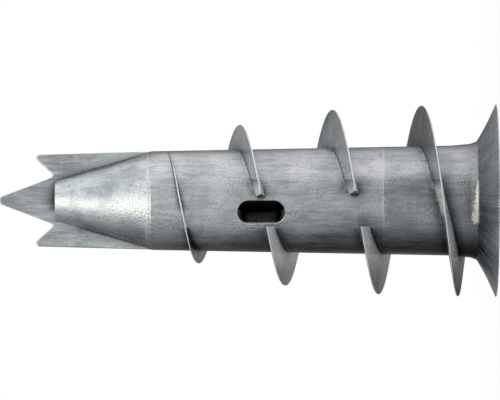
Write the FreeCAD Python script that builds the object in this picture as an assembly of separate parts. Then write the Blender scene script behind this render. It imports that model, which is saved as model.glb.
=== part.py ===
import FreeCAD, Part
import math
import os

os.makedirs("parts", exist_ok=True)

# Overall sizes in mm. The anchor stands on its head, the tip points up along Z.
overall_length = 38.0
head_radius = 7.37
head_rim = 0.07

# Underside of the head: a shallow hollow, a sharp edge, then a second hollow run into the body
head_hollow_radius = 5.60
head_hollow_height = 0.865
neck_radius = 4.53
neck_height = 1.53
knee_radius = 4.345
knee_height = 2.02
flare_height = 3.55
flare_bulge = 0.02

# Tapered body and the nose cone on its end
body_base_radius = 4.205
body_end_radius = 3.775
body_end_height = 26.38
nose_base_radius = 3.71
nose_base_height = 26.58
nose_end_radius = 1.69
nose_end_height = 33.77
nose_edge = 0.08

# Flat cutting blade. The sharp tip behind its round is found in a few passes.
tip_passes = 20
blade_thickness = 1.4
blade_base_half = 3.735
spur_corner_half = 3.49
spur_corner_height = 35.60
spur_round = 0.27
valley_half = 1.856
valley_height = 33.73
valley_round = 0.22
spear_round = 0.36
blade_sink = 4.0
blade_root_inset = 0.6

# Thread: one right-hand fin with growing lead and growing height
thread_start_height = 25.23
thread_lead = 8.07
lead_growth_share = 0.553
lead_growth_turns = 0.731
lead_end_turn = 4.32
lead_end_turns = 0.893
thread_first_turn = 0.03
thread_last_turn = 3.78
ramp_turns = 0.14
ramp_end_rise = 0.5
crest_radius = 7.32
crest_start_radius = 3.80
crest_full_height = 2.945
crest_linear_share = 0.108
crest_power = 3.2
crest_half = 0.045
root_sink = 0.3
least_fin_height = 0.02
most_stretch = 4.0

# The mould's parting angles in each half turn, and what each flank adds to the fin at its root
side_core_start = 71.0
side_core_middle = 92.0
side_core_end = 119.3
die_draft = 0.15
root_cap_tip = 0.39
root_cap_head = 0.38
foot_tip = 0.30
foot_tip_end = 0.40
foot_head = 0.30
foot_fin_height = 2.2
foot_lead = 6.3

# Steps along the thread: degrees between sections, turns between summed heights
step_angle = 9.0
height_step = 0.002

# Gaps in the thread on two sides, where the middle flights are interrupted
gap_low_height = 8.68
gap_high_height = 22.3
gap_lower_wall = 1.955
gap_upper_wall_low = 0.52
gap_upper_wall_high = 0.18
gap_upper_depth = 3.9
gap_upper_draft = 5.5

# Screw bore, open at the head and blind at the tip end
bore_radius = 2.0
bore_depth = 26.0
bore_end_radius = 1.0
bore_end_depth = 30.5

# Side windows into the bore
window_low = 16.21
window_high = 19.80
window_width = 1.726
window_angle = 26.0
window_inner_share = 0.6

# Driver recess: a cross of two tapered wings
recess_span = 7.2
recess_bottom_span = 4.6
recess_width = 1.6
recess_bottom_width = 1.2
recess_depth = 4.2

# How far a cutter stands past what it cuts
clearance = 1.0

axis_z = FreeCAD.Vector(0, 0, 1)
origin = FreeCAD.Vector(0, 0, 0)


# Radius of the body's straight taper at a height
def body_radius(height):
    slope = (body_end_radius - body_base_radius) / (body_end_height - flare_height)
    return body_base_radius + slope * (height - flare_height)


# Head, neck, body and nose turned about Z
def turned_core():
    start = FreeCAD.Vector(0, 0, 0)
    face_edge = FreeCAD.Vector(head_radius, 0, 0)
    rim_top = FreeCAD.Vector(head_radius, 0, head_rim)
    underside = FreeCAD.Vector(head_hollow_radius, 0, head_hollow_height)
    neck = FreeCAD.Vector(neck_radius, 0, neck_height)
    flare = FreeCAD.Vector(body_base_radius, 0, flare_height)
    body_end = FreeCAD.Vector(body_end_radius, 0, body_end_height)
    nose_base = FreeCAD.Vector(nose_base_radius, 0, nose_base_height)
    nose_slope = (nose_base_radius - nose_end_radius) / (nose_end_height - nose_base_height)
    nose_shoulder = FreeCAD.Vector(nose_end_radius + nose_slope * nose_edge, 0, nose_end_height - nose_edge)
    nose_end = FreeCAD.Vector(nose_end_radius - nose_edge, 0, nose_end_height)
    top = FreeCAD.Vector(0, 0, nose_end_height)
    knee = FreeCAD.Vector(knee_radius, 0, knee_height)
    middle = (neck_radius + knee_radius) / 2 - flare_bulge
    hollow = Part.Arc(neck, FreeCAD.Vector(middle, 0, (neck_height + knee_height) / 2), knee)
    edges = [
        Part.makeLine(start, face_edge),
        Part.makeLine(face_edge, rim_top),
        Part.Arc(rim_top, underside, neck).toShape(),
        hollow.toShape(),
        Part.makeLine(knee, flare),
        Part.makeLine(flare, body_end),
        Part.makeLine(body_end, nose_base),
        Part.makeLine(nose_base, nose_shoulder),
        Part.makeLine(nose_shoulder, nose_end),
        Part.makeLine(nose_end, top),
        Part.makeLine(top, start),
    ]
    profile = Part.Face(Part.Wire(edges))
    return profile.revolve(origin, axis_z, 360)


# Corner of an outline rounded by an arc: returns tangent points and the arc middle
def rounded_corner(before, corner, after, radius):
    inward = before.sub(corner).normalize()
    outward = after.sub(corner).normalize()
    half_angle = inward.getAngle(outward) / 2
    setback = radius / math.tan(half_angle)
    first = corner.add(inward * setback)
    last = corner.add(outward * setback)
    middle_direction = inward.add(outward).normalize()
    centre = corner.add(middle_direction * (radius / math.sin(half_angle)))
    middle = centre.sub(middle_direction * radius)
    return first, middle, last


# Flat blade in the XZ plane: a spear point between two spurs
def blade_plate():
    nose_base = nose_base_height - blade_sink
    right = [
        FreeCAD.Vector(blade_base_half, 0, nose_base_height),
        FreeCAD.Vector(spur_corner_half, 0, spur_corner_height),
        FreeCAD.Vector(valley_half, 0, valley_height),
    ]
    sharp_tip = overall_length
    for attempt in range(tip_passes):
        spear_half = math.atan2(valley_half, sharp_tip - valley_height)
        sharp_tip = overall_length + spear_round * (1 / math.sin(spear_half) - 1)
    tip = FreeCAD.Vector(0, 0, sharp_tip)
    mirror = [FreeCAD.Vector(-p.x, 0, p.z) for p in right]
    inner = blade_base_half - blade_root_inset
    low_right = FreeCAD.Vector(inner, 0, nose_base)
    low_left = FreeCAD.Vector(-inner, 0, nose_base)
    step_right = FreeCAD.Vector(inner, 0, nose_base_height)
    step_left = FreeCAD.Vector(-inner, 0, nose_base_height)
    corners = [low_right, step_right] + right + [tip] + mirror[::-1] + [step_left, low_left]
    rounds = [0, 0, 0, spur_round, valley_round, spear_round, valley_round, spur_round, 0, 0, 0]
    edges = []
    path = []
    count = len(corners)
    for index in range(count):
        corner = corners[index]
        if rounds[index] == 0:
            path.append((corner, None, corner))
        else:
            before = corners[index - 1]
            after = corners[(index + 1) % count]
            path.append(rounded_corner(before, corner, after, rounds[index]))
    for index in range(count):
        first, middle, last = path[index]
        following = path[(index + 1) % count][0]
        if middle is not None:
            edges.append(Part.Arc(first, middle, last).toShape())
        edges.append(Part.makeLine(last, following))
    outline = Part.Face(Part.Wire(edges))
    outline.translate(FreeCAD.Vector(0, -blade_thickness / 2, 0))
    return outline.extrude(FreeCAD.Vector(0, blade_thickness, 0))


# Lead of the thread at a turn, in mm per turn
def lead_at(turn):
    rising = 1 - lead_growth_share * math.exp(-turn / lead_growth_turns)
    falling = 1 - math.exp(-(lead_end_turn - turn) / lead_end_turns)
    return thread_lead * rising * max(falling, 0)


# Height of the fin's middle at a turn, by summing the lead over small steps
def height_at(turn):
    count = max(int(math.ceil(turn / height_step)), 1)
    step = turn / count
    leads = [lead_at((index + 0.5) * step) for index in range(count)]
    return thread_start_height - sum(leads) * step


# Radius of the crest, which grows towards the head and ramps down at the last turn
def crest_radius_at(turn, height):
    span = thread_start_height - crest_full_height
    share = max(height - crest_full_height, 0) / span
    fall = crest_linear_share * share + (1 - crest_linear_share) * share ** crest_power
    radius = crest_radius - (crest_radius - crest_start_radius) * fall
    ramp_start = thread_last_turn - ramp_turns
    if turn > ramp_start:
        drop = (turn - ramp_start) / ramp_turns
        radius = radius - (crest_radius - body_radius(height) - ramp_end_rise) * drop ** 2
    return radius


# What a flank adds at its root where it runs along the mould's opening direction
def die_root(angle, lead, root, crest, cap):
    fin_height = max(crest - root, least_fin_height)
    lag = angle - math.degrees(math.asin(min(root / crest, 1) * math.sin(math.radians(angle))))
    limit = cap * math.sqrt(fin_height / foot_fin_height)
    return limit * math.tanh(math.hypot(die_draft * fin_height, lead * lag / 360) / limit)


# Value on straight runs between given places
def between(place, places, values):
    for index in range(len(places) - 1):
        if place <= places[index + 1]:
            share = (place - places[index]) / (places[index + 1] - places[index])
            return values[index] + share * (values[index + 1] - values[index])
    return values[-1]


# Half thickness of the fin at its root towards the tip and towards the head
def root_halves(turn, height, crest):
    angle = (turn * 360) % 180
    root = body_radius(height)
    lead = lead_at(turn)
    scale = min((crest - root) / foot_fin_height, 1)

    def tip_die(degrees):
        return die_root(degrees, lead, root, crest, root_cap_tip)

    def head_die(degrees):
        return die_root(180 - degrees, lead, root, crest, root_cap_head)

    if angle < side_core_start:
        towards_tip = tip_die(angle)
    else:
        places = [side_core_start, side_core_middle, side_core_end, 180]
        feet = [tip_die(side_core_start), foot_tip * scale, foot_tip_end * scale, tip_die(0)]
        towards_tip = between(angle, places, feet)
    if angle > side_core_end:
        towards_head = head_die(angle)
    else:
        places = [0, side_core_start, side_core_middle, side_core_end]
        feet = [head_die(180), foot_head * scale, foot_head * scale, head_die(side_core_end)]
        towards_head = between(angle, places, feet)
    thinning = min(lead / foot_lead, 1)
    return crest_half + towards_tip * thinning, crest_half + towards_head * thinning


# Points of the four fin edges at one turn: root and crest towards tip, crest and root towards head
def fin_section(turn):
    height = height_at(turn)
    crest = crest_radius_at(turn, height)
    tip_half, head_half = root_halves(turn, height, crest)
    root = body_radius(height)
    inner = root - root_sink
    stretch = min((crest - inner) / max(crest - root, least_fin_height), most_stretch)
    tip_inner = crest_half + (tip_half - crest_half) * stretch
    head_inner = crest_half + (head_half - crest_half) * stretch
    angle = math.radians(turn * 360)
    along = FreeCAD.Vector(math.cos(angle), -math.sin(angle), 0)
    return [
        along * inner + axis_z * (height + tip_inner),
        along * crest + axis_z * (height + crest_half),
        along * crest + axis_z * (height - crest_half),
        along * inner + axis_z * (height - head_inner),
    ]


# Turn numbers where the mould parts meet, which show as creases across the fin
def zone_limits():
    limits = [thread_first_turn]
    half_turn = 0
    while half_turn * 0.5 < thread_last_turn:
        for angle in (side_core_start, side_core_end):
            turn = half_turn * 0.5 + angle / 360
            if thread_first_turn < turn < thread_last_turn:
                limits.append(turn)
        half_turn = half_turn + 1
    limits.append(thread_last_turn)
    return limits


# Turn numbers of the sections between two limits
def zone_turns(first, last):
    count = max(int(math.ceil((last - first) * 360 / step_angle)), 3)
    return [first + (last - first) * index / count for index in range(count + 1)]


# Smooth edge through a row of points
def edge_through(points):
    curve = Part.BSplineCurve()
    curve.interpolate(Points=points)
    return curve.toShape()


# Spiral fin as one closed solid, with its faces divided where the mould parts meet
def thread_fin():
    limits = zone_limits()
    faces = []
    for first, last in zip(limits[:-1], limits[1:]):
        sections = [fin_section(turn) for turn in zone_turns(first, last)]
        curves = [edge_through([section[k] for section in sections]) for k in range(4)]
        for k in range(4):
            faces.append(Part.makeRuledSurface(curves[k], curves[(k + 1) % 4]))
    for turn in (thread_first_turn, thread_last_turn):
        section = fin_section(turn)
        faces.append(Part.Face(Part.makePolygon(section + [section[0]])))
    shell = Part.makeShell(faces)
    shell.sewShape()
    fin = Part.makeSolid(Part.Shell(shell.Faces))
    if fin.Volume < 0:
        fin.reverse()
    return fin


# Corners of the gap at one height: upper wall slanted outwards, lower wall straight
def gap_corners(upper_wall, height):
    reach = head_radius + clearance
    slope = math.tan(math.radians(gap_upper_draft))
    upper_out = upper_wall + (reach - gap_upper_depth) * slope
    upper_in = upper_wall - gap_upper_depth * slope
    return [
        FreeCAD.Vector(upper_in, 0, height),
        FreeCAD.Vector(upper_out, -reach, height),
        FreeCAD.Vector(-gap_lower_wall, -reach, height),
        FreeCAD.Vector(-gap_lower_wall, 0, height),
    ]


# Block that clears the fin on the viewer's side, with flat walls
def gap_block():
    low = gap_corners(gap_upper_wall_low, gap_low_height)
    high = gap_corners(gap_upper_wall_high, gap_high_height)
    walls = [[low[k - 1], low[k], high[k], high[k - 1]] for k in range(4)]
    faces = [Part.Face(Part.makePolygon(points + [points[0]])) for points in [low, high] + walls]
    shell = Part.makeShell(faces)
    shell.sewShape()
    return Part.makeSolid(Part.Shell(shell.Faces))


# Window through the wall: a rounded slot trimmed by a slanted lower wall
def window_cutter():
    reach = head_radius
    half = window_width / 2
    low = FreeCAD.Vector(-half, 0, window_low + half)
    high = FreeCAD.Vector(-half, 0, window_high - half)
    into = FreeCAD.Vector(0, -1, 0)
    slot = Part.makeCylinder(half, reach, low, into)
    slot = slot.fuse(Part.makeCylinder(half, reach, high, into))
    middle = Part.makeBox(window_width, reach, high.z - low.z, FreeCAD.Vector(-window_width, -reach, low.z))
    slot = slot.fuse(middle).removeSplitter()
    drop = reach * math.tan(math.radians(window_angle))
    wedge_low = window_low - clearance
    wedge_length = window_high - window_low + 2 * clearance
    outline = Part.makePolygon([
        origin,
        FreeCAD.Vector(clearance, 0, 0),
        FreeCAD.Vector(clearance, -reach, 0),
        FreeCAD.Vector(-drop, -reach, 0),
        origin,
    ])
    wedge = Part.Face(outline).extrude(axis_z * wedge_length)
    wedge.translate(axis_z * wedge_low)
    wide = window_width + clearance
    near_wall = Part.makeBox(2 * wide, reach, wedge_length)
    near_wall.translate(FreeCAD.Vector(-wide, -reach - bore_radius * window_inner_share, wedge_low))
    return slot.common(wedge).common(near_wall)


# Screw bore with a cone at its blind end
def bore_cutter():
    straight = Part.makeCylinder(bore_radius, bore_depth + clearance, axis_z * -clearance, axis_z)
    cone_length = bore_end_depth - bore_depth
    cone = Part.makeCone(bore_radius, bore_end_radius, cone_length, axis_z * bore_depth, axis_z)
    return straight.fuse(cone)


# Rectangle about the axis at a height
def wing_outline(span, width, height):
    x = span / 2
    y = width / 2
    return Part.makePolygon([
        FreeCAD.Vector(-x, -y, height),
        FreeCAD.Vector(x, -y, height),
        FreeCAD.Vector(x, y, height),
        FreeCAD.Vector(-x, y, height),
        FreeCAD.Vector(-x, -y, height),
    ])


# Cross recess for the driver
def recess_cutter():
    over = clearance / recess_depth
    mouth_span = recess_span + (recess_span - recess_bottom_span) * over
    mouth_width = recess_width + (recess_width - recess_bottom_width) * over
    mouth = wing_outline(mouth_span, mouth_width, -clearance)
    bottom = wing_outline(recess_bottom_span, recess_bottom_width, recess_depth)
    wing = Part.makeLoft([mouth, bottom], True, True)
    cross = wing.copy()
    cross.rotate(origin, axis_z, 90)
    return wing.fuse(cross)


# Copy turned to the other side
def half_turned(shape):
    other = shape.copy()
    other.rotate(origin, axis_z, 180)
    return other


fin = thread_fin()
print("fin", fin.isValid(), round(fin.Volume, 3))
gap = gap_block()
fin = fin.cut(gap).cut(half_turned(gap))
print("gaps", fin.isValid(), round(fin.Volume, 3), len(fin.Solids))
core = turned_core().fuse(blade_plate())
print("core", core.isValid(), round(core.Volume, 3), len(core.Solids))
anchor = core.fuse(fin)
print("thread joined", anchor.isValid(), round(anchor.Volume, 3), len(anchor.Solids))
window = window_cutter()
for cutter in (bore_cutter(), recess_cutter(), window, half_turned(window)):
    anchor = anchor.cut(cutter)
anchor = anchor.Solids[0]
print("anchor", anchor.isValid(), round(anchor.Volume, 3), len(anchor.Faces))
box = anchor.BoundBox
print(round(box.XMin, 3), round(box.XMax, 3), round(box.YMin, 3), round(box.YMax, 3), round(box.ZMax, 3))
anchor.exportStep("parts/anchor_body.step")
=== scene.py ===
import math
import bpy
import bmesh
import numpy as np
from mathutils import Matrix, Vector


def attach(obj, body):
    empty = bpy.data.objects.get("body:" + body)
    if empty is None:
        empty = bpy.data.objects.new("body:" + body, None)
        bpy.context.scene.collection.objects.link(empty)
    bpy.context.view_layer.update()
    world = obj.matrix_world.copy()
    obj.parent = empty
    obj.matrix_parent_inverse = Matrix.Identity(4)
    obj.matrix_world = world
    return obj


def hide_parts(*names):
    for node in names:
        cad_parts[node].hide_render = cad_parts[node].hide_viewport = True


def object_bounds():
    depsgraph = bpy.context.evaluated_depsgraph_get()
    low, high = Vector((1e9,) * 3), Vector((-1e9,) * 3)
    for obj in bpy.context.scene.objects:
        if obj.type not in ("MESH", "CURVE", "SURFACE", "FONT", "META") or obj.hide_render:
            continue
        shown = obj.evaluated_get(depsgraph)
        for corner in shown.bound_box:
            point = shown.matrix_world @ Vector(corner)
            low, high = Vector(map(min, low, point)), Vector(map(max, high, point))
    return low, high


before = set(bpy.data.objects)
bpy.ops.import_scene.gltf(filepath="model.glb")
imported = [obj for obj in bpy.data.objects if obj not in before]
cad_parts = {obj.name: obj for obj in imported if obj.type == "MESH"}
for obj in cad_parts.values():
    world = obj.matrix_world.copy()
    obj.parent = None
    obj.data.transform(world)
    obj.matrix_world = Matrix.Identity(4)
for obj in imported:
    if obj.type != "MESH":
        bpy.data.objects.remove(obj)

cadLow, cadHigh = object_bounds()
mm = 0.001   # sizes below are in millimetres unless they say otherwise, Blender works in metres


# Mesh tools: every list of points is in millimetres

def inScene(name, data):
    made = bpy.data.objects.new(name, data)
    bpy.context.scene.collection.objects.link(made)
    return made


def meshObject(name, points, faces):
    mesh = bpy.data.meshes.new(name)
    mesh.from_pydata([tuple(c * mm for c in p) for p in points], [], faces)
    mesh.update()
    return inScene(name, mesh)


def square(name, half, height, order=(0, 1, 2, 3)):
    corners = [(-half, -half, height), (half, -half, height), (half, half, height), (-half, half, height)]
    return meshObject(name, corners, [order])


def outward(made):
    # all faces look out, whatever order they were made in
    work = bmesh.new()
    work.from_mesh(made.data)
    bmesh.ops.recalc_face_normals(work, faces=work.faces)
    work.to_mesh(made.data)
    work.free()
    return made


def combine(base, other, operation):
    # boolean of two closed meshes, the second one is used up
    change = base.modifiers.new(operation, "BOOLEAN")
    change.operation = operation
    change.object = other
    change.solver = "MANIFOLD"
    bpy.context.view_layer.update()
    graph = bpy.context.evaluated_depsgraph_get()
    result = bpy.data.meshes.new_from_object(base.evaluated_get(graph))
    base.modifiers.clear()
    old = base.data
    base.data = result
    bpy.data.meshes.remove(old)
    bpy.data.objects.remove(other)
    return base


def roundedPath(corners, rounds, steps, closed=False):
    # a path of straight runs with its corners rounded
    path = []
    count = len(corners)
    for index, corner in enumerate(corners):
        atEnd = not closed and index in (0, count - 1)
        if atEnd or rounds[index] == 0:
            path.append(Vector(corner))
            continue
        here = Vector(corner)
        before = (Vector(corners[index - 1]) - here).normalized()
        after = (Vector(corners[(index + 1) % count]) - here).normalized()
        half = before.angle(after) / 2
        setback = rounds[index] / math.tan(half)
        centre = here + (before + after).normalized() * (rounds[index] / math.sin(half))
        first = here + before * setback - centre
        last = here + after * setback - centre
        turn = first.angle(last)
        for step in range(steps + 1):
            share = step / steps
            spin = math.sin((1 - share) * turn) * first + math.sin(share * turn) * last
            path.append(centre + spin / math.sin(turn))
    return path


def divided(path, longest):
    # long straight runs get more points
    result = [path[0]]
    for point in path[1:]:
        start = result[-1]
        count = max(int(math.ceil((point - start).length / longest)), 1)
        for step in range(1, count + 1):
            result.append(start.lerp(point, step / count))
    return result


def turned(name, path, columns):
    # closed surface turned about Z from (radius, height) points, both ends on the axis
    inner = path[1:-1]
    points = [(0, 0, path[0].y)]
    for point in inner:
        for column in range(columns):
            angle = 2 * math.pi * column / columns
            points.append((point.x * math.cos(angle), point.x * math.sin(angle), point.y))
    points.append((0, 0, path[-1].y))
    faces = []
    for column in range(columns):
        following = (column + 1) % columns
        faces.append((0, 1 + following, 1 + column))
        for row in range(len(inner) - 1):
            low = 1 + row * columns
            high = low + columns
            faces.append((low + column, low + following, high + following, high + column))
        top = 1 + (len(inner) - 1) * columns
        faces.append((top + column, top + following, len(points) - 1))
    return outward(meshObject(name, points, faces))


def lofted(name, loops):
    # closed surface through loops of equally many points, with flat ends
    size = len(loops[0])
    points = [point for loop in loops for point in loop]
    faces = [tuple(range(size)), tuple(range(len(points) - size, len(points)))]
    for row in range(len(loops) - 1):
        for index in range(size):
            following = (index + 1) % size
            low = row * size
            high = low + size
            faces.append((low + index, low + following, high + following, high + index))
    return outward(meshObject(name, points, faces))


# Head, neck, body and nose, all turned in one outline

head = {
    "radius": 7.37,
    "rim": 0.07,
    "rimRound": 0.015,
    "bendRadius": 5.62,       # the underside bends here, then again at the neck and at the knee
    "bendHeight": 0.865,
    "bendRound": 16.0,
    "neckRadius": 4.53,
    "neckHeight": 1.53,
    "neckRound": 0.06,
    "kneeRadius": 4.345,
    "kneeHeight": 2.02,
    "kneeRound": 1.2,
}

body = {
    "baseRadius": 4.205,
    "baseHeight": 3.55,
    "baseRound": 4.0,
    "endRadius": 3.775,
    "endHeight": 26.38,
    "endRound": 0.05,
    "noseRadius": 3.71,
    "noseHeight": 26.58,
    "noseEndRadius": 1.69,
    "noseEndHeight": 33.77,
    "noseEdge": 0.09,
    "columns": 240,
    "longest": 0.30,          # longest step of the outline
    "roundSteps": 8,
}

# Fine ridges round the body, where the side cores of the mould end
witness = {
    "heights": (8.68, 26.66),
    "width": 0.075,
    "rise": 0.010,
    "rows": 10,               # a step of the outline near a ridge is cut into these
    "shortest": 0.05,         # unless it is shorter than this
    "outside": 3.0,           # nothing nearer to the axis belongs to the skin
}


def bodyRadius(height):
    slope = (body["endRadius"] - body["baseRadius"]) / (body["endHeight"] - body["baseHeight"])
    return body["baseRadius"] + slope * (height - body["baseHeight"])


def witnessRise(height):
    rise = 0
    for place in witness["heights"]:
        across = abs(height - place) / witness["width"]
        rise = max(rise, witness["rise"] * max(1 - across * across, 0))
    return rise


def makeCore():
    corners = [
        ((0, 0), 0),
        ((head["radius"], 0), head["rimRound"]),
        ((head["radius"], head["rim"]), head["rimRound"]),
        ((head["bendRadius"], head["bendHeight"]), head["bendRound"]),
        ((head["neckRadius"], head["neckHeight"]), head["neckRound"]),
        ((head["kneeRadius"], head["kneeHeight"]), head["kneeRound"]),
        ((body["baseRadius"], body["baseHeight"]), body["baseRound"]),
        ((body["endRadius"], body["endHeight"]), body["endRound"]),
        ((body["noseRadius"], body["noseHeight"]), body["endRound"]),
        ((body["noseEndRadius"], body["noseEndHeight"]), body["noseEdge"]),
        ((0, body["noseEndHeight"]), 0),
    ]
    places, rounds = zip(*corners)
    path = []
    for point in divided(roundedPath(places, rounds, body["roundSteps"]), body["longest"]):
        near = any(abs(point.y - place) < body["longest"] for place in witness["heights"])
        long = path and (point - path[-1]).length > witness["shortest"]
        if near and long and point.x > witness["outside"]:
            start, count = path[-1], witness["rows"]
            path += [start.lerp(point, step / count) for step in range(1, count)]
        path.append(point)
    for point in path:
        if point.x > witness["outside"]:
            point.x += witnessRise(point.y)
    return turned("anchorCasting", path, body["columns"])


# Thread: lead, crest and flanks follow the turn number, and heights fall from the tip to the head

thread = {
    "startHeight": 25.23,
    "lead": 8.07,
    "growthShare": 0.553,         # how much less the lead is at the tip
    "growthTurns": 0.731,
    "endTurn": 4.32,              # and it falls towards this turn
    "endTurns": 0.893,
    "firstTurn": 0.03,
    "lastTurn": 3.78,
    "rampTurns": 0.14,
    "rampRise": 0.5,
    "crestRadius": 7.32,
    "crestStart": 3.80,
    "crestHeight": 2.945,
    "linearShare": 0.108,
    "power": 3.2,
    "crestHalf": 0.045,           # half the crest's width
    "edgeOfHalf": 0.6,            # its edge is no taller than this share of that
    "edgeOfTall": 0.2,            # and this share of the fin's height
    "crestCorner": ((0.3, 0.8), (0, 0.35)),   # its points: shares of the edge down, of the half width aside
    "dieDraft": 0.15,
    "tipFoot": 0.30,              # most that the tip flank adds at its foot, in the middle and at the low end
    "tipFootLow": 0.40,
    "headFoot": 0.30,
    "footTall": 2.2,
    "footLead": 6.3,              # the fin gets thinner where its lead is less than this, near the head
    "tipCap": 0.39,
    "headCap": 0.38,
    "capHeight": 2.2,
    "coreWall": 1.58,             # the side core's upper parting plane
    "coreBlend": 25.0,            # degrees over which sections lean into that plane
    "coreMiddle": 92.0,
    "coreEnd": 119.3,
    "wallGuess": 71.0,            # first guess of the angle at that plane, bettered in a few passes
    "wallPasses": 6,
    "fillet": 0.05,
    "filletOfTall": 0.45,         # at most this share of the fin's height
    "filletSink": 0.012,          # its low end lies this far under the skin
    "sink": 0.30,
    "leastTall": 0.02,
    "leastSection": 0.03,
    "stepAngle": 2.5,
    "stepTurns": 0.002,           # of the table of heights, which runs on a little past the last turn
    "tableTurns": 0.2,
    "partingTurns": 0.0004,       # over which the flanks change where the mould's parts meet
    "leastZone": 0.01,
    "flankRows": 8,
    "filletRows": 6,
}


def leadAt(turn):
    rising = 1 - thread["growthShare"] * math.exp(-turn / thread["growthTurns"])
    falling = 1 - math.exp(-(thread["endTurn"] - turn) / thread["endTurns"])
    return thread["lead"] * rising * max(falling, 0)


def threadHeights():
    # heights of the fin's middle over the turns, summed in small steps
    step = thread["stepTurns"]
    turns, heights = [0.0], [thread["startHeight"]]
    while turns[-1] < thread["lastTurn"] + thread["tableTurns"]:
        heights.append(heights[-1] - leadAt(turns[-1] + step / 2) * step)
        turns.append(turns[-1] + step)
    return turns, heights


heightTable = threadHeights()


def heightAt(turn):
    return float(np.interp(turn, *heightTable))


def crestRadiusAt(turn, height):
    span = thread["startHeight"] - thread["crestHeight"]
    share = max(height - thread["crestHeight"], 0) / span
    linear = thread["linearShare"]
    fall = linear * share + (1 - linear) * share ** thread["power"]
    radius = thread["crestRadius"] - (thread["crestRadius"] - thread["crestStart"]) * fall
    rampStart = thread["lastTurn"] - thread["rampTurns"]
    if turn > rampStart:
        drop = (turn - rampStart) / thread["rampTurns"]
        radius -= (thread["crestRadius"] - bodyRadius(height) - thread["rampRise"]) * drop ** 2
    return radius


def dieFlank(angle, lead, radius, crest, root, cap):
    # the mould opens along X here, so the flank is nearly straight along X
    lag = angle - math.degrees(math.asin(min(radius / crest, 1) * math.sin(math.radians(angle))))
    reach = math.hypot(thread["dieDraft"] * (crest - radius), lead * lag / 360)
    limit = cap * math.sqrt(max(crest - root, thread["leastTall"]) / thread["capHeight"])
    return limit * math.tanh(reach / limit)


def wallAngle(radius):
    # where the side core's upper wall crosses a circle of this radius
    return math.degrees(math.acos(min(thread["coreWall"] / radius, 1)))


def flankOffset(angle, lead, radius, crest, root, zone, tipSide):
    # distance of a flank from the fin's middle at one radius, angle within the half turn
    tall = max(crest - root, thread["leastTall"])
    share = (crest - radius) / tall
    part = share * min(tall / thread["footTall"], 1)

    def tipDie(degrees, at):
        return dieFlank(degrees, lead, at, crest, root, thread["tipCap"])

    def headDie(degrees, at):
        return dieFlank(180 - degrees, lead, at, crest, root, thread["headCap"])

    start, middle, end = wallAngle(root), thread["coreMiddle"], thread["coreEnd"]
    if tipSide and zone == "die":
        extra = tipDie(angle, radius)
    elif tipSide:
        feet = (share * tipDie(start, root), thread["tipFoot"] * part,
                thread["tipFootLow"] * part, tipDie(0, radius))
        extra = np.interp(angle, (start, middle, end, 180), feet)
    elif zone == "low":
        extra = headDie(angle, radius)
    else:
        foot = thread["headFoot"] * part
        feet = (headDie(180, radius), foot, foot, headDie(end, radius))
        extra = np.interp(angle, (0, start, middle, end), feet)
    return thread["crestHalf"] + float(extra) * min(lead / thread["footLead"], 1)


def finSection(turn, zone):
    # closed outline of the fin at one turn number of its crest
    lead = leadAt(turn)
    height = heightAt(turn)
    crest = crestRadiusAt(turn, height)
    root = bodyRadius(height)
    tall = max(crest - root, thread["leastSection"])
    half = thread["crestHalf"]
    fillet = min(thread["fillet"], thread["filletOfTall"] * tall)
    edge = min(thread["edgeOfHalf"] * half, thread["edgeOfTall"] * tall)
    crestAngle = turn * 360
    nearWall = max(1 - abs(crestAngle % 180 - wallAngle(crest)) / thread["coreBlend"], 0)

    def placed(radius, extra, tipSide, foot=None):
        # point on a flank: near the side core's wall the section leans to lie in that wall
        measured = min(max(radius, root), crest)
        lean = (wallAngle(measured) - wallAngle(crest)) * nearWall
        angle = crestAngle + lean
        within = crestAngle % 180 + lean
        offset = flankOffset(within, lead, foot or measured, crest, root, zone, tipSide) + extra
        middle = heightAt(angle / 360)
        spin = math.radians(angle)
        z = middle + offset if tipSide else middle - offset
        return radius * math.cos(spin), -radius * math.sin(spin), z

    def side(tipSide):
        foot = root + fillet
        profile = [placed(root - thread["sink"], fillet, tipSide, foot)]
        for row in range(thread["filletRows"] + 1):
            bend = math.pi / 2 * row / thread["filletRows"]
            radius = root - thread["filletSink"] + fillet * (1 - math.cos(bend))
            profile.append(placed(radius, fillet * (1 - math.sin(bend)), tipSide, foot))
        for row in range(1, thread["flankRows"] + 1):
            radius = foot + (crest - edge - root - fillet) * row / thread["flankRows"]
            profile.append(placed(radius, 0, tipSide))
        spin = math.radians(crestAngle)
        for down, aside in thread["crestCorner"]:
            radius, offset = crest - down * edge, aside * half
            z = height + offset if tipSide else height - offset
            profile.append((radius * math.cos(spin), -radius * math.sin(spin), z))
        return profile

    return side(True) + side(False)[::-1]


def threadZones():
    # stretches of the thread between the parting lines of the mould
    limits = [(thread["firstTurn"], "die")]
    start = 0.0
    while start < thread["lastTurn"]:
        wall = thread["wallGuess"]
        for attempt in range(thread["wallPasses"]):
            turn = start + wall / 360
            wall = wallAngle(crestRadiusAt(turn, heightAt(turn)))
        limits.append((start + wall / 360, "core"))
        limits.append((start + thread["coreEnd"] / 360, "low"))
        start += 0.5
        limits.append((start, "die"))
    limits = [(turn, zone) for turn, zone in limits if turn < thread["lastTurn"] - thread["leastZone"]]
    ends = [turn for turn, zone in limits[1:]] + [thread["lastTurn"]]
    return [(first, last, zone) for (first, zone), last in zip(limits, ends)]


def makeThread():
    step = thread["partingTurns"]
    sections = []
    for first, last, zone in threadZones():
        count = max(int(math.ceil((last - first) * 360 / thread["stepAngle"])), 2)
        for index in range(count + 1):
            turn = first + step + (last - first - 2 * step) * index / count
            sections.append(finSection(turn, zone))
    return lofted("thread", sections)


# Gaps that interrupt the middle flights on two sides

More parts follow.
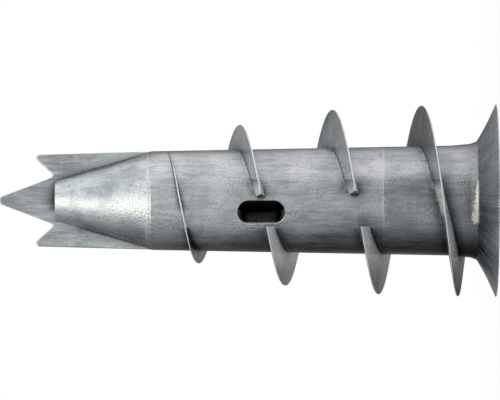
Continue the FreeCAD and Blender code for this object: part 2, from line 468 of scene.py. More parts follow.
gap = {
    "low": 8.68,
    "high": 22.3,
    "lowerWall": 1.955,
    "wallLow": 0.52,          # upper wall at the body, at the gap's low and high end
    "wallHigh": 0.18,
    "wallDepth": 3.9,
    "draft": 5.5,
    "past": 2.0,              # the cutter stands this far past the head's radius
}


def makeGap(side):
    # block that clears the middle flights on one side, with a slanted upper wall
    reach = head["radius"] + gap["past"]
    slope = math.tan(math.radians(gap["draft"]))
    loops = []
    for height, wall in ((gap["low"], gap["wallLow"]), (gap["high"], gap["wallHigh"])):
        upperOut = wall + (reach - gap["wallDepth"]) * slope
        upperIn = wall - gap["wallDepth"] * slope
        outline = [(upperIn, 0), (upperOut, -reach), (-gap["lowerWall"], -reach), (-gap["lowerWall"], 0)]
        loops.append([(side * x, side * y, height) for x, y in outline])
    return lofted("gap", loops)


# Blade: flat spear between two spurs, with its edges softened

blade = {
    "thickness": 1.4,
    "baseHalf": 3.735,
    "spurHalf": 3.49,
    "spurHeight": 35.60,
    "spurRound": 0.27,
    "valleyHalf": 1.856,
    "valleyHeight": 33.73,
    "valleyRound": 0.22,
    "spearRound": 0.36,
    "length": 38.0,
    "sharpPasses": 20,        # to find the sharp tip behind its round
    "sink": 4.0,
    "inset": 0.6,
    "roundSteps": 8,
    "edgeRound": 0.07,
    "edgeSteps": 3,
    "edgeFrom": 60,           # edges sharper than this are softened, along the two sides
    "tolerance": 0.001,
}


def makeBlade():
    base = body["noseHeight"]
    low = base - blade["sink"]
    inner = blade["baseHalf"] - blade["inset"]
    sharp = blade["length"]
    for attempt in range(blade["sharpPasses"]):
        spear = math.atan2(blade["valleyHalf"], sharp - blade["valleyHeight"])
        sharp = blade["length"] + blade["spearRound"] * (1 / math.sin(spear) - 1)
    right = [
        ((inner, low), 0),
        ((inner, base), 0),
        ((blade["baseHalf"], base), 0),
        ((blade["spurHalf"], blade["spurHeight"]), blade["spurRound"]),
        ((blade["valleyHalf"], blade["valleyHeight"]), blade["valleyRound"]),
    ]
    left = [((-x, z), size) for (x, z), size in right[::-1]]
    corners, rounds = zip(*(right + [((0, sharp), blade["spearRound"])] + left))
    outline = roundedPath(corners, rounds, blade["roundSteps"], closed=True)
    half = blade["thickness"] / 2
    plate = lofted("blade", [[(p.x, y, p.y) for p in outline] for y in (-half, half)])
    work = bmesh.new()
    work.from_mesh(plate.data)
    sharpest = math.radians(blade["edgeFrom"])
    rim = [e for e in work.edges if e.is_manifold and e.calc_face_angle() > sharpest
           and abs(e.verts[0].co.y - e.verts[1].co.y) < blade["tolerance"] * mm]
    bmesh.ops.bevel(
        work, geom=rim, offset=blade["edgeRound"] * mm, segments=blade["edgeSteps"],
        profile=0.5, affect="EDGES",
    )
    work.to_mesh(plate.data)
    work.free()
    return plate


# Openings: screw bore, driver recess and the two windows

bore = {
    "radius": 2.0,
    "depth": 26.0,
    "endRadius": 1.0,
    "endDepth": 30.5,
    "past": 1.0,              # the cutter stands this far out of the head
    "columns": 96,
}


def makeBore():
    path = [(0, -bore["past"]), (bore["radius"], -bore["past"]), (bore["radius"], bore["depth"]),
            (bore["endRadius"], bore["endDepth"]), (0, bore["endDepth"])]
    return turned("bore", [Vector(p) for p in path], bore["columns"])


recess = {
    "span": 7.2,
    "bottomSpan": 4.6,
    "width": 1.6,
    "bottomWidth": 1.2,
    "depth": 4.2,
    "cornerRound": 0.16,
    "cornerSteps": 4,
    "past": 0.5,              # the cutter stands this far out of the head
}


def makeRecess():
    loops = []
    for height, grow in ((-recess["past"], recess["past"] / recess["depth"]), (recess["depth"], -1)):
        x = (recess["span"] + (recess["span"] - recess["bottomSpan"]) * grow) / 2
        y = (recess["width"] + (recess["width"] - recess["bottomWidth"]) * grow) / 2
        corners = []
        for quarter in range(4):
            spin = math.pi / 2 * quarter
            for px, py in ((y, -y), (x, -y), (x, y)):
                corners.append((px * math.cos(spin) - py * math.sin(spin),
                                px * math.sin(spin) + py * math.cos(spin)))
        rounds = [recess["cornerRound"]] * len(corners)
        path = roundedPath(corners, rounds, recess["cornerSteps"], closed=True)
        loops.append([(p.x, p.y, height) for p in path])
    return lofted("recess", loops)


window = {
    "low": 16.21,
    "high": 19.80,
    "width": 1.726,
    "angle": 26.0,
    "innerShare": 0.6,        # of the bore's radius, where the cutter ends
    "lipRound": 0.04,
    "lowLip": 0.22,           # the lower edge is rounder, half of it outside the slot's size
    "depths": (1.6, 1.0, 0.5, 0.22, 0.17, 0.125, 0.09, 0.062, 0.04, 0.026, 0.015, 0.007, 0.002,
               -0.012, -0.6),  # under the skin, and the last two outside it
    "endSteps": 16,
    "sideSteps": 10,
}


def slotOutline(width, upper, lower):
    # rounded slot from x = 0 down to x = -width, made larger by upper at its ends and top, by lower below
    half = (width + upper + lower) / 2
    middle = (upper - width - lower) / 2
    endHalf = window["width"] / 2
    high = window["high"] - endHalf
    low = window["low"] + endHalf
    path = []
    for end, centre in ((1, high), (-1, low)):
        for step in range(window["endSteps"] + 1):
            angle = math.pi * step / window["endSteps"]
            across, up = end * math.cos(angle) * half, end * math.sin(angle) * (endHalf + upper)
            path.append((middle + across, centre + up))
        for step in range(1, window["sideSteps"]):
            share = step / window["sideSteps"]
            path.append((middle - end * half, centre + (low + high - 2 * centre) * share))
    return path


def lipGrowth(below, lip):
    # how much wider a rounded lip is at a depth below the surface
    rest = max(lip - below, 0)
    return lip - math.sqrt(lip * lip - rest * rest)


def makeWindow(side):
    slope = math.tan(math.radians(window["angle"]))
    deep = bore["radius"] * window["innerShare"]
    loops = [[(x, -deep, z) for x, z in slotOutline(deep * slope, 0, 0)]]
    skin = bodyRadius((window["low"] + window["high"]) / 2)
    for depth in window["depths"]:
        below = max(depth, 0)
        upper = lipGrowth(below, window["lipRound"])
        lower = lipGrowth(below, window["lowLip"]) - window["lowLip"] / 2
        width = min((skin - below) * slope, window["width"])
        loop = []
        for x, z in slotOutline(width, upper, lower):
            radius = bodyRadius(z) - depth
            loop.append((x, -math.sqrt(radius * radius - x * x), z))
        loops.append(loop)
    return lofted("window", [[(side * x, side * y, z) for x, y, z in loop] for loop in loops])


casting = makeCore()
print("core", len(casting.data.polygons))
fin = makeThread()
print("thread", len(fin.data.polygons))
for side in (1, -1):
    combine(fin, makeGap(side), "DIFFERENCE")
combine(casting, makeBlade(), "UNION")
combine(casting, fin, "UNION")
for cutter in (makeBore(), makeRecess(), makeWindow(1), makeWindow(-1)):
    combine(casting, cutter, "DIFFERENCE")
print("casting", len(casting.data.polygons))


# Shader tools

class Flow:
    # wraps one output socket, and arithmetic on it adds Math nodes
    def __init__(self, shader, socket):
        self.shader = shader
        self.socket = socket

    def __add__(self, other):
        return self.shader.maths("ADD", self, other)

    def __radd__(self, other):
        return self.shader.maths("ADD", other, self)

    def __sub__(self, other):
        return self.shader.maths("SUBTRACT", self, other)

    def __rsub__(self, other):
        return self.shader.maths("SUBTRACT", other, self)

    def __mul__(self, other):
        return self.shader.maths("MULTIPLY", self, other)

    def __rmul__(self, other):
        return self.shader.maths("MULTIPLY", other, self)

    def __truediv__(self, other):
        return self.shader.maths("DIVIDE", self, other)

    def __rtruediv__(self, other):
        return self.shader.maths("DIVIDE", other, self)

    def __pow__(self, other):
        return self.shader.maths("POWER", self, other)

    def __rpow__(self, other):
        return self.shader.maths("POWER", other, self)

    def __abs__(self):
        return self.shader.maths("ABSOLUTE", self)


class Shader:
    def __init__(self, tree):
        self.tree = tree
        tree.nodes.clear()

    def node(self, kind, settings=None, inputs=None, output=0):
        made = self.tree.nodes.new(kind)
        for name, value in (settings or {}).items():
            if name == "stops":
                ramp = made.color_ramp
                while len(ramp.elements) > 1:
                    ramp.elements.remove(ramp.elements[-1])
                for index, (place, colour) in enumerate(value):
                    stop = ramp.elements[0] if index == 0 else ramp.elements.new(place)
                    stop.position = place
                    stop.color = (*colour, 1)
            else:
                setattr(made, name, value)
        for name, value in (inputs or {}).items():
            if isinstance(value, Flow):
                self.tree.links.new(value.socket, made.inputs[name])
            else:
                made.inputs[name].default_value = value
        return Flow(self, made.outputs[output]) if len(made.outputs) else None

    def maths(self, operation, first, second=0.0):
        return self.node("ShaderNodeMath", {"operation": operation}, {0: first, 1: second})

    def blend(self, factor, first, second):
        # mixes two colours
        return self.node("ShaderNodeMix", {"data_type": "RGBA"}, {0: factor, 6: first, 7: second}, 2)

    def smooth(self, value, low, high):
        # rises from 0 to 1 between low and high
        return self.node("ShaderNodeMapRange", {"interpolation_type": "SMOOTHSTEP"}, {
            "Value": value, "From Min": low, "From Max": high,
        })

    def axes(self, vector):
        return [self.node("ShaderNodeSeparateXYZ", {}, {0: vector}, axis) for axis in "XYZ"]

    def noise(self, vector, size, detail, roughness):
        return self.node("ShaderNodeTexNoise", {}, {
            "Vector": vector, "Scale": 1 / size, "Detail": detail, "Roughness": roughness,
        })

    def mark(self, name):
        # value of one of the marks on the faces
        return self.node("ShaderNodeAttribute", {"attribute_name": name}, output="Fac")


def namedMaterial(name):
    made = bpy.data.materials.new(name)
    made.use_nodes = True
    return made, Shader(made.node_tree)


# Marks on the faces, from their places and directions, tell the zinc where it is

marking = {
    "threadClear": 0.06,          # faces farther than this above the skin are on the thread
    "threadLow": 3.0,
    "crestClear": 0.25,
    "crestFacing": 0.6,           # a crest looks out more than this, a cut end less
    "cutLevel": 0.35,             # a cut end looks up or down less than this
    "flankLevel": 0.3,            # a flank looks up or down more than this
    "filletClear": (0.003, 0.07), # least and most above the skin
    "filletHeights": (3.3, 25.0),
    "insideClear": 0.02,
    "insideLow": 0.01,
    "boreLow": 1.0,
    "boreClear": 0.1,
    "windowClear": 0.02,
    "windowAside": 0.80,
    "windowLevel": 0.4,
    "coneClear": 0.03,
    "noseClear": 0.001,
    "flat": 0.9999,               # faces that look straight along an axis
    "leastRadius": 0.01,
}


def faceNormals(mesh):
    normals = np.empty(len(mesh.polygons) * 3)
    mesh.polygons.foreach_get("normal", normals)
    return normals.reshape(-1, 3).T


def markFaces(made):
    mesh = made.data
    centres = np.empty(len(mesh.polygons) * 3)
    mesh.polygons.foreach_get("center", centres)
    x, y, z = (centres.reshape(-1, 3) / mm).T
    nx, ny, nz = faceNormals(mesh)
    radius = np.hypot(x, y)
    skin = bodyRadius(z)
    facing = (nx * x + ny * y) / np.maximum(radius, marking["leastRadius"])

    # thread: its crest, the ends cut by the gaps, and the faces that the side cores leave
    onBody = z < body["endHeight"]
    onThread = onBody & (radius > skin + marking["threadClear"]) & (z > marking["threadLow"])
    crest = onThread & (radius > skin + marking["crestClear"]) & (facing > marking["crestFacing"])
    cutEnd = onThread & (np.abs(nz) < marking["cutLevel"]) & (facing < marking["crestFacing"]) & (nx * y > 0)
    angle = np.degrees(np.arctan2(-y, x)) % 180
    wall = np.degrees(np.arccos(np.clip(thread["coreWall"] / radius, -1, 1)))
    litFacet = onThread & (angle > wall) & (angle < thread["coreEnd"]) & ~cutEnd | crest
    least, most = marking["filletClear"]
    low, high = marking["filletHeights"]
    fillet = (z > low) & (z < high) & (radius > skin + least) & (radius < skin + most)

    # bore, recess and windows, and the slanted wall of a window
    inside = onBody & (z > marking["insideLow"]) & (radius < skin - marking["insideClear"])
    clear = marking["boreClear"]
    inside |= (z > marking["boreLow"]) & (z < bore["endDepth"] + clear) & (radius < bore["radius"] + clear)
    inSlot = np.minimum(z - window["low"], window["high"] - z) > 0
    slanted = inside & inSlot & (radius > bore["radius"] + marking["windowClear"])
    slanted &= x * np.sign(y) > marking["windowAside"]
    lit = np.where(slanted, np.clip(1 - np.abs(nz) / marking["windowLevel"], 0, 1), 0)

    # blade, where it stands out of the nose
    share = (z - body["noseHeight"]) / (body["noseEndHeight"] - body["noseHeight"])
    cone = body["noseRadius"] - share * (body["noseRadius"] - body["noseEndRadius"])
    plain = (radius > cone + marking["coneClear"]) | (z > body["noseEndHeight"] + marking["noseClear"])
    plain |= np.abs(ny) > marking["flat"]
    marks = {
        "litFacet": litFacet,
        "crest": crest,
        "cutEnd": cutEnd,
        "tipSide": onThread & (nz > marking["flankLevel"]),
        "headSide": onThread & (nz < -marking["flankLevel"]),
        "fillet": fillet & (np.abs(nz) > marking["flankLevel"]),
        "inside": inside,
        "lit": lit,
        "plain": plain & (z > body["noseHeight"]),
    }
    for name, marked in marks.items():
        layer = mesh.attributes.new(name, "FLOAT", "FACE")
        layer.data.foreach_set("value", marked.astype(np.float32))


def keepFlat(made):
    # the blade's sides and the head's outer face stay flat in shading up to their softened edges
    mesh = made.data
    across = np.abs(faceNormals(mesh))
    flat = (across[1] > marking["flat"]) | (across[2] > marking["flat"])
    edges = {}
    for polygon in mesh.polygons:
        for key in polygon.edge_keys:
            edges.setdefault(key, set()).add(bool(flat[polygon.index]))
    for edge in mesh.edges:
        if len(edges[edge.key]) > 1:
            edge.use_edge_sharp = True


# Raw die-cast zinc. Pairs are the start and end of a soft change, in millimetres where they are places.

zinc = {
    "pale": (0.61, 0.65, 0.675),       # brushed bright
    "dark": (0.36, 0.395, 0.415),      # dull skin of the casting
    "sharpAngle": 24,                  # shaded smooth, apart from edges sharper than this

    # noises: size, detail, roughness, and how much they change the tone
    "clouds": (2.2, 3.0, 0.5),
    "cloudDepth": 2.0,
    "streaks": (0.36, 4.0, 0.6),
    "streakStretch": 9.0,
    "streakDepth": 1.8,
    "fine": (0.09, 2.0, 0.5),
    "fineDepth": 1.0,
    "specks": (0.13, 1.0, 0.5),
    "speckDepth": 1.1,
    "outwards": (4.52, 4.58),          # past this radius the streaks run outwards
    "outwardRays": 6,
    "outwardRise": 0.3,
    "sand": (2.7, 2.0, 0.5),           # patches where the skin is sandy
    "sandEdge": (0.42, 0.60),
    "sandLeast": 0.45,
    "sandTone": 0.35,
    "witnessLine": (0.03, 0.09),
    "witnessPale": 0.6,
    "witnessStain": 0.45,              # pale patches above the lines
    "stainStart": (0.0, 0.06),
    "stainEnd": (0.3, 1.4),

    # faces that the side cores leave on the thread, and its crest: painted light, lighter than the skin
    "litFacet": (0.76, 0.75, 0.77),
    "facetHighlight": (0.92, 0.91, 0.93), # painted highlight towards the head, and on the crest
    "facetMetal": 0.36,
    "facetSkin": 0.3,                  # of the skin's tone that shows in them
    "facetTop": 0.9,                   # width over which they fade at the core's upper wall
    "facetLow": (0.7, 1.6),            # and towards the tip, at its lower wall
    "litFlankAside": (3.6, 6.0),           # the rest of the head flank near the body, painted lighter and less metallic as painted light
    "litFlankHeight": (19, 23),
    "litFlankPale": 0.6,
    "litFlankMetal": 0.20,

    # painted shade in corners, less of it where the thread stands back from the core and on the body's upper
    # side
    "creviceReach": 1.3,
    "creviceEdge": (0.04, 0.50),
    "creviceShade": 0.12,
    "creviceSamples": 8,
    "creviceOffFacet": 0.7,
    "creviceOffLitFlank": 0.4,
    "clearStart": (0.5, 1.0),
    "clearEnd": (2.0, 2.2),
    "clearHeight": (6, 8),
    "clearShare": 0.8,
    "upperSide": (-2.4, -0.4),
    "upperEnd": (24, 26),
    "upperShare": 0.7,

    # painted shade of single places, 1 is none
    "insideShade": 0.07,               # painted shade in the bore and windows
    "insideDepth": (-0.06, 0.10),
    "litShade": 0.60,                  # lighter painted shade on the lit slanted wall of a window
    "litMetal": 0.80,
    "recessShade": 0.50,               # added in the head's recess, where the painted shade is lighter
    "recessHeights": (1.0, 4.5),
    # painted shade on some of the thread's cut ends
    "cutEndShade": 0.35,
    "filletShade": 0.45,               # painted shade in the round at the root of the thread
    "rootShade": 0.38,                 # painted shade on the tip flank near the body, on the flight nearest to the head
    "rootRadii": (4.605, 8.2),
    "rootHeights": (6.5, 9.5),
    "outerShade": 0.68,                # painted shade on the head flank far from the body
    "outerAside": (4.2, 6.8),
    # painted shade on the collar next to the head
    "collarShade": 0.58,
    "collarLow": (0.3, 0.8),
    "collarHigh": (1.53, 3.13),
    "headMetal": 0.78,                 # the head's rim is duller than its neck
    "headRadii": (4.73, 7.37),
    "headEnd": (1.5, 1.7),

    # painted highlight on the neck, where the side cores close on it
    "paintedHighlight": (1.0, 0.98, 0.90),
    "shineLow": (1.38, 1.48),
    "shineHigh": (1.50, 2.05),
    "shineLean": 0.14,
    "shineAside": (1.2, 2.1),
    "shineGain": 1.3,
    "shineSpecks": 1.6,
    "shineEdge": (0.20, 0.90),

    "roughness": 0.25,
    "roughnessSwing": 0.40,            # with the streaks
    "grain": (0.13, 2.0, 0.5),
    "grainHeight": 0.020,
    "ripples": (1.1, 2.0, 0.5),
    "rippleHeight": 0.018,
    "bladeRoughness": -0.09,           # added on the flat blade, which is plainer
    "bladeGrain": 0.25,
    "bladeShade": 1.02,
}


def zincMaterial():
    made, shader = namedMaterial("rawZinc")
    smooth, mark = shader.smooth, shader.mark
    place = shader.node("ShaderNodeTexCoord", output="Object")
    inMm = shader.node("ShaderNodeVectorMath", {"operation": "SCALE"}, {0: place, "Scale": 1 / mm})
    x, y, z = shader.axes(inMm)
    radius = (x * x + y * y) ** 0.5
    aside = abs(x)
    side = shader.maths("SIGN", 0 - y)
    below = 0 - x * side                # how far below the axis a place is, seen from its own side core

    # streaks run along the body, and outwards on the head and the thread
    stretch = 1 / zinc["streakStretch"]
    along = shader.node("ShaderNodeVectorMath", {"operation": "MULTIPLY"}, {0: inMm, 1: (1, 1, stretch)})
    rays = zinc["outwardRays"]
    outwards = shader.node("ShaderNodeCombineXYZ", {}, {
        0: x / radius * rays, 1: y / radius * rays, 2: radius * stretch + z * zinc["outwardRise"],
    })
    turn = smooth(radius, *zinc["outwards"])
    onSkin = 1 - turn
    brushed = shader.blend(turn, along, outwards)
    clouds = shader.noise(inMm, *zinc["clouds"])
    streaks = shader.noise(brushed, *zinc["streaks"])
    fine = shader.noise(brushed, *zinc["fine"])
    specks = shader.noise(inMm, *zinc["specks"])
    patch = smooth(shader.noise(inMm, *zinc["sand"]), *zinc["sandEdge"])
    plain = mark("plain")
    sandy = (zinc["sandLeast"] + patch) * (1 - plain * (1 - zinc["bladeGrain"]))
    tone = 0.5 + (clouds - 0.5) * zinc["cloudDepth"] + (streaks - 0.5) * zinc["streakDepth"]
    tone = tone + (fine - 0.5) * zinc["fineDepth"] + (specks - 0.5) * zinc["speckDepth"] * sandy
    tone = tone + patch * zinc["sandTone"] * (1 - plain) - zinc["sandTone"] / 2
    for height in witness["heights"]:
        line = 1 - smooth(abs(z - height), *zinc["witnessLine"])
        tone = tone + line * onSkin * zinc["witnessPale"]
        stain = smooth(z - height, *zinc["stainStart"]) * (1 - smooth(z - height, *zinc["stainEnd"]))
        tone = tone + stain * patch * onSkin * zinc["witnessStain"]
    colour = shader.blend(tone, (*zinc["dark"], 1), (*zinc["pale"], 1))

    # painted light on the side core's faces fades out softly at its upper wall, and towards the tip at its
    # lower wall too
    litFacet, crest, tipSide, headSide = mark("litFacet"), mark("crest"), mark("tipSide"), mark("headSide")
    wall = thread["coreWall"]
    litFacet = litFacet * (1 - smooth(x * side, wall - zinc["facetTop"], wall) * (1 - crest))
    litFacet = litFacet * (1 - smooth(below, *zinc["facetLow"]) * tipSide)
    # painted light on those faces, with a painted highlight on the crest and the head flank
    paintedLit = shader.blend(headSide + crest, (*zinc["litFacet"], 1), (*zinc["facetHighlight"], 1))
    # painted light on the head flank near the body: paler and less metallic
    litFlank = headSide * (1 - smooth(aside, *zinc["litFlankAside"])) * (1 - smooth(z, *zinc["litFlankHeight"]))
    litFlank = litFlank * (1 - litFacet)
    paintedLitOnSkin = shader.blend(zinc["facetSkin"], paintedLit, colour)
    colour = shader.blend(litFacet + litFlank * zinc["litFlankPale"], colour, paintedLitOnSkin)

    # painted shade in corners
    openness = shader.node(
        "ShaderNodeAmbientOcclusion", {"samples": zinc["creviceSamples"], "only_local": True},
        {"Distance": zinc["creviceReach"] * mm}, "AO",
    )
    clear = smooth(below, *zinc["clearStart"]) * (1 - smooth(below, *zinc["clearEnd"]))
    clear = clear * smooth(z, *zinc["clearHeight"]) * zinc["clearShare"]
    upper = (1 - smooth(below, *zinc["upperSide"])) * (1 - smooth(z, *zinc["upperEnd"]))
    clear = clear + upper * (1 - plain) * (1 - tipSide) * zinc["upperShare"]
    crevice = smooth(1 - openness, *zinc["creviceEdge"]) * (1 - clear)
    crevice = crevice * (1 - litFacet * zinc["creviceOffFacet"]) * (1 - litFlank * zinc["creviceOffLitFlank"])
    shade = 1 - crevice * (1 - zinc["creviceShade"])

    # painted shade in the openings
    lit = mark("lit")
    hollow = zinc["insideShade"] + lit * (zinc["litShade"] - zinc["insideShade"])
    hollow = hollow + (1 - smooth(z, *zinc["recessHeights"])) * zinc["recessShade"]
    sunk = mark("inside") * smooth(bodyRadius(z) - radius, *zinc["insideDepth"])
    shade = shade + sunk * (hollow - shade)

    # painted shade of single places, and the blade's own tone
    root = tipSide * (1 - smooth(radius, *zinc["rootRadii"])) * (1 - smooth(z, *zinc["rootHeights"]))
    root = root * (1 - litFacet)
    collar = onSkin * smooth(z, *zinc["collarLow"]) * (1 - smooth(z, *zinc["collarHigh"]))
    for share, depth in (
        (plain, zinc["bladeShade"]),
        (mark("cutEnd"), zinc["cutEndShade"]),
        (mark("fillet"), zinc["filletShade"]),
        (root, zinc["rootShade"]),
        (headSide * smooth(aside, *zinc["outerAside"]), zinc["outerShade"]),
        (collar, zinc["collarShade"]),
    ):
        shade = shade * (1 - share * (1 - depth))
    colour = shader.node("ShaderNodeVectorMath", {"operation": "SCALE"}, {0: colour, "Scale": shade})
    onHead = smooth(radius, *zinc["headRadii"]) * (1 - smooth(z, *zinc["headEnd"]))
    metal = 1 - litFacet * (1 - zinc["facetMetal"]) - lit * (1 - zinc["litMetal"])
    metal = metal - onHead * (1 - zinc["headMetal"]) - litFlank * (1 - zinc["litFlankMetal"])

    # the collar's painted highlight
    paintedHighlight = (1 - smooth(z - below * zinc["shineLean"], *zinc["shineHigh"])) * smooth(z, *zinc["shineLow"])
    paintedHighlight = paintedHighlight * (1 - smooth(aside, *zinc["shineAside"])) * zinc["shineGain"]
    paintedHighlight = smooth(paintedHighlight + (specks - 0.5) * zinc["shineSpecks"], *zinc["shineEdge"])
    colour = shader.blend(paintedHighlight, colour, (*zinc["paintedHighlight"], 1))

    relief = shader.noise(inMm, *zinc["grain"]) * zinc["grainHeight"] * sandy
    relief = relief + shader.noise(brushed, *zinc["ripples"]) * zinc["rippleHeight"]
    bump = shader.node("ShaderNodeBump", {}, {"Height": relief * mm, "Distance": 1.0, "Strength": 1.0})
    rough = zinc["roughness"] + (streaks - 0.5) * zinc["roughnessSwing"] + plain * zinc["bladeRoughness"]
    surface = shader.node("ShaderNodeBsdfPrincipled", {}, {
        "Base Color": colour, "Metallic": metal, "Roughness": rough, "Normal": bump,
    })
    shader.node("ShaderNodeOutputMaterial", {}, {"Surface": surface})
    return made


markFaces(casting)
casting.data.materials.clear()
casting.data.materials.append(zincMaterial())
casting.data.shade_smooth()
casting.data.set_sharp_from_angle(angle=math.radians(zinc["sharpAngle"]))
keepFlat(casting)
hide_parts("anchor_body")
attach(casting, "root")
print("material")


# Floor: white to the camera, apart from a little shadow near the anchor

floorSheet = {
    "size": 900.0,
    "colour": (0.80, 0.80, 0.80),
    "nearShare": 0.94,            # of white in it near the anchor
    "fade": (0.012, 0.05),        # distances in metres over which it gets all white
}


def seenDirectly(shader):
    # one for rays that show the backdrop: from the camera, in reflections and through glass
    rays = ("Is Camera Ray", "Is Glossy Ray", "Is Transmission Ray")
    camera, glossy, clear = [shader.node("ShaderNodeLightPath", output=ray) for ray in rays]
    return shader.maths("MAXIMUM", shader.maths("MAXIMUM", camera, glossy), clear)


def makeFloor():
    floor = square("floor", floorSheet["size"] / 2, 0)
    made, shader = namedMaterial("paleFloor")
    place = shader.node("ShaderNodeTexCoord", output="Object")
    away = shader.node("ShaderNodeVectorMath", {"operation": "LENGTH"}, {0: place}, "Value")
    near = floorSheet["nearShare"]
    share = seenDirectly(shader) * (near + (1 - near) * shader.smooth(away, *floorSheet["fade"]))
    paint = shader.node("ShaderNodeBsdfDiffuse", {}, {"Color": (*floorSheet["colour"], 1)})
    white = shader.node("ShaderNodeEmission", {}, {"Color": (1, 1, 1, 1), "Strength": 1.0})
    mixed = shader.node("ShaderNodeMixShader", {}, {0: share, 1: paint, 2: white})
    shader.node("ShaderNodeOutputMaterial", {}, {"Surface": mixed})
    floor.data.materials.append(made)


# Tent: bands of pale and dark cloth that show in the metal and nowhere else

tent = {
    "rings": ((7.6, 0.08), (11, 0.4), (46, 20), (60, 50), (60, 110)),   # radius and height
    "columns": 72,
    # each band: its height, then degrees round from the camera towards +X with the level there
    "bands": (
        (1, ((-180, 0.16), (-155, 0.26), (-140, 0.10), (-120, 0.02), (-90, 0.06), (-60, 0.17), (-30, 0.30),
             (15, 0.14), (42, 0.36), (54, 0.90), (115, 0.60), (135, 0.30), (155, 0.08), (180, 0.12))),
        (8, ((-180, 0.30), (-160, 0.34), (-140, 0.08), (-115, 0.02), (-90, 0.05), (-77, 0.13), (-41, 0.46),
             (-14, 0.50), (14, 0.40), (40, 0.46), (53, 1.00), (115, 0.85), (135, 0.45), (155, 0.10),
             (180, 0.34))),
        (16, ((-180, 0.12), (-160, 0.12), (-120, 0.03), (-83, 0.13), (-45, 0.42), (-14, 0.58), (16, 0.56),
              (42, 0.62), (53, 0.88), (115, 0.80), (135, 0.60), (158, 0.12), (180, 0.12))),
        (24, ((-180, 0.20), (-158, 0.14), (-125, 0.04), (-87, 0.17), (-46, 0.53), (-14, 0.71), (16, 0.72),
              (44, 0.76), (56, 0.98), (95, 1.05), (115, 0.95), (135, 0.60), (158, 0.16), (180, 0.20))),
        (29, ((-180, 0.14), (-158, 0.14), (-125, 0.18), (-90, 0.38), (-48, 0.94), (-14, 1.52), (19, 1.25),
              (44, 0.90), (56, 1.08), (95, 1.08), (115, 1.00), (135, 0.55), (158, 0.12), (180, 0.14))),
        (33, ((-180, 0.30), (-155, 0.14), (-120, 0.12), (-92, 0.22), (-70, 0.34), (-45, 0.46), (-8, 0.52),
              (22, 0.52), (44, 0.78), (56, 1.12), (115, 0.95), (135, 0.45), (158, 0.20), (180, 0.30))),
        (41, ((-180, 0.47), (-155, 0.16), (-120, 0.14), (-92, 0.20), (-70, 0.30), (-45, 0.44), (-8, 0.62),
              (22, 0.62), (44, 0.76), (56, 1.12), (115, 0.95), (135, 0.40), (158, 0.30), (180, 0.47))),
        (49, ((-180, 0.56), (-155, 0.16), (-125, 0.18), (-106, 0.26), (-79, 0.40), (-56, 0.56), (-34, 0.95),
              (12, 0.95), (28, 0.70), (42, 0.78), (61, 1.10), (112, 1.00), (150, 0.28), (170, 0.56),
              (180, 0.56))),
        (62, ((-180, 0.30), (-150, 0.12), (-125, 0.20), (-106, 0.31), (-79, 0.54), (-56, 0.85), (-38, 1.40),
              (-22, 1.85), (-4, 1.80), (14, 1.35), (40, 1.08), (61, 1.15), (112, 1.04), (150, 0.40),
              (180, 0.30))),
    ),
    "warmth": 0.14,               # of cloth brighter than warmFrom, all of it at warmFull
    "warmFrom": 1.2,
    "warmFull": 1.7,
    "red": -0.005,                # added to the red of all cloth but the next
    "lowRed": 0.05,               # and of the low cloth on the upper side
    "lowHeight": 30,
    "lowDegrees": (45, 120),
    "roofLevel": 0.40,
}


def onlyReflected(made):
    made.visible_camera = False
    made.visible_shadow = False
    made.visible_diffuse = False


def glowing(made, shader, colour, strength):
    glow = shader.node("ShaderNodeEmission", {}, {"Color": colour, "Strength": strength})
    shader.node("ShaderNodeOutputMaterial", {}, {"Surface": glow})
    return made


def clothStop(height, degrees, level):
    # place of a level in its band, and its colour
    span = tent["warmFull"] - tent["warmFrom"]
    warm = tent["warmth"] * min(max(level - tent["warmFrom"], 0) / span, 1)
    first, last = tent["lowDegrees"]
    isLow = height < tent["lowHeight"] and first < degrees < last
    red = tent["lowRed"] if isLow else tent["red"]
    return degrees / 360 + 0.5, (level * (1 + warm / 3 + red), level, level * (1 - warm))


def tentCloth():
    made, shader = namedMaterial("tentCloth")
    x, y, z = shader.axes(shader.node("ShaderNodeTexCoord", output="Object"))
    share = shader.maths("ARCTAN2", x, 0 - y) / (2 * math.pi) + 0.5
    colour, lower = None, 0
    for height, levels in tent["bands"]:
        stops = [clothStop(height, degrees, level) for degrees, level in levels]
        band = shader.node("ShaderNodeValToRGB", {"stops": stops}, {0: share})
        if colour is None:
            colour = band
        else:
            ends = {"Value": z / mm, "From Min": lower, "From Max": height}
            rise = shader.node("ShaderNodeMapRange", {}, ends)
            colour = shader.blend(rise, colour, band)
        lower = height
    return glowing(made, shader, colour, 1.0)


def makeTent():
    # narrow at the floor, with a flat roof
    count = tent["columns"]
    rings = tent["rings"]
    points, faces = [], []
    for radius, height in rings:
        for index in range(count):
            angle = 2 * math.pi * index / count
            points.append((radius * math.sin(angle), -radius * math.cos(angle), height))
    for ring in range(len(rings) - 1):
        low = ring * count
        for index in range(count):
            following = (index + 1) % count
            faces.append((low + index, low + following, low + count + following, low + count + index))
    walls = meshObject("tent", points, faces)
    walls.data.materials.append(tentCloth())
    onlyReflected(walls)
    roof = square("tentRoof", *rings[-1], (3, 2, 1, 0))
    roof.data.materials.append(glowing(*namedMaterial("roofCloth"), (1, 1, 1, 1), tent["roofLevel"]))
    onlyReflected(roof)


# World and lamps, in metres and watts

light = {
    "world": 1.0,
    "distance": 0.052,            # of the lamps from the anchor's middle
    "key": {"direction": (-0.16, -0.72, 0.70), "size": (0.030, 0.016), "power": 0.0006},
    "fill": {"direction": (0.9, -0.45, 0.30), "size": (0.05, 0.03), "power": 0.0006},
}


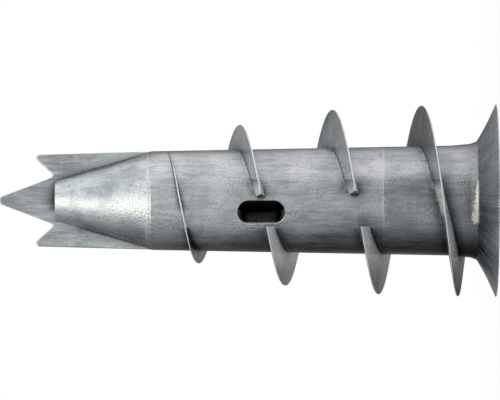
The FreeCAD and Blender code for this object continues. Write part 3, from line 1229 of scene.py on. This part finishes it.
def lookAt(made, target, up):
    # turns an object so that its -Z looks at the target and its Y is as near to up as can be
    away = (made.location - Vector(target)).normalized()
    right = Vector(up).cross(away).normalized()
    above = away.cross(right)
    made.rotation_mode = "QUATERNION"
    made.rotation_quaternion = Matrix([[right[i], above[i], away[i]] for i in range(3)]).to_quaternion()


def makeWorld():
    world = bpy.data.worlds.new("studio")
    bpy.context.scene.world = world
    world.use_nodes = True
    shader = Shader(world.node_tree)
    glow = shader.node("ShaderNodeBackground", {}, {"Color": (1, 1, 1, 1), "Strength": light["world"]})
    shader.node("ShaderNodeOutputWorld", {}, {"Surface": glow})


def makeLamp(name):
    values = light[name]
    lamp = bpy.data.lights.new(name, "AREA")
    lamp.shape = "RECTANGLE"
    lamp.size, lamp.size_y = values["size"]
    lamp.energy = values["power"]
    made = inScene(name, lamp)
    middle = Vector((0, 0, cadHigh.z / 2))
    made.location = middle + Vector(values["direction"]).normalized() * light["distance"]
    lookAt(made, middle, (0, 0, 1))
    made.visible_camera = False


# Camera: the photograph's frame and where the anchor sits in it

photo = {
    "width": 500,
    "height": 400,
    "mmPerPixel": 0.07649,        # at the distance of the anchor's axis
    "headFaceX": 496.5,           # pixel column of the head's outer face
    "axisY": 200.6,               # pixel row of the anchor's axis
    "distance": 489.5,            # camera to axis
    "sensor": 36.0,
    "clip": (0.01, 10),           # in metres
}


def makeCamera():
    scale = photo["mmPerPixel"]
    height = (photo["headFaceX"] - photo["width"] / 2) * scale * mm
    side = (photo["axisY"] - photo["height"] / 2) * scale * mm
    camera = bpy.data.cameras.new("camera")
    camera.sensor_width = photo["sensor"]
    camera.lens = photo["sensor"] * photo["distance"] / (photo["width"] * scale)
    camera.clip_start, camera.clip_end = photo["clip"]
    made = inScene("camera", camera)
    made.location = (side, -photo["distance"] * mm, height)
    lookAt(made, (side, 0, height), (1, 0, 0))
    bpy.context.scene.camera = made


makeFloor()
makeTent()
makeWorld()
for name in ("key", "fill"):
    makeLamp(name)
makeCamera()
bpy.context.scene.view_settings.view_transform = "Standard"
print("stage")
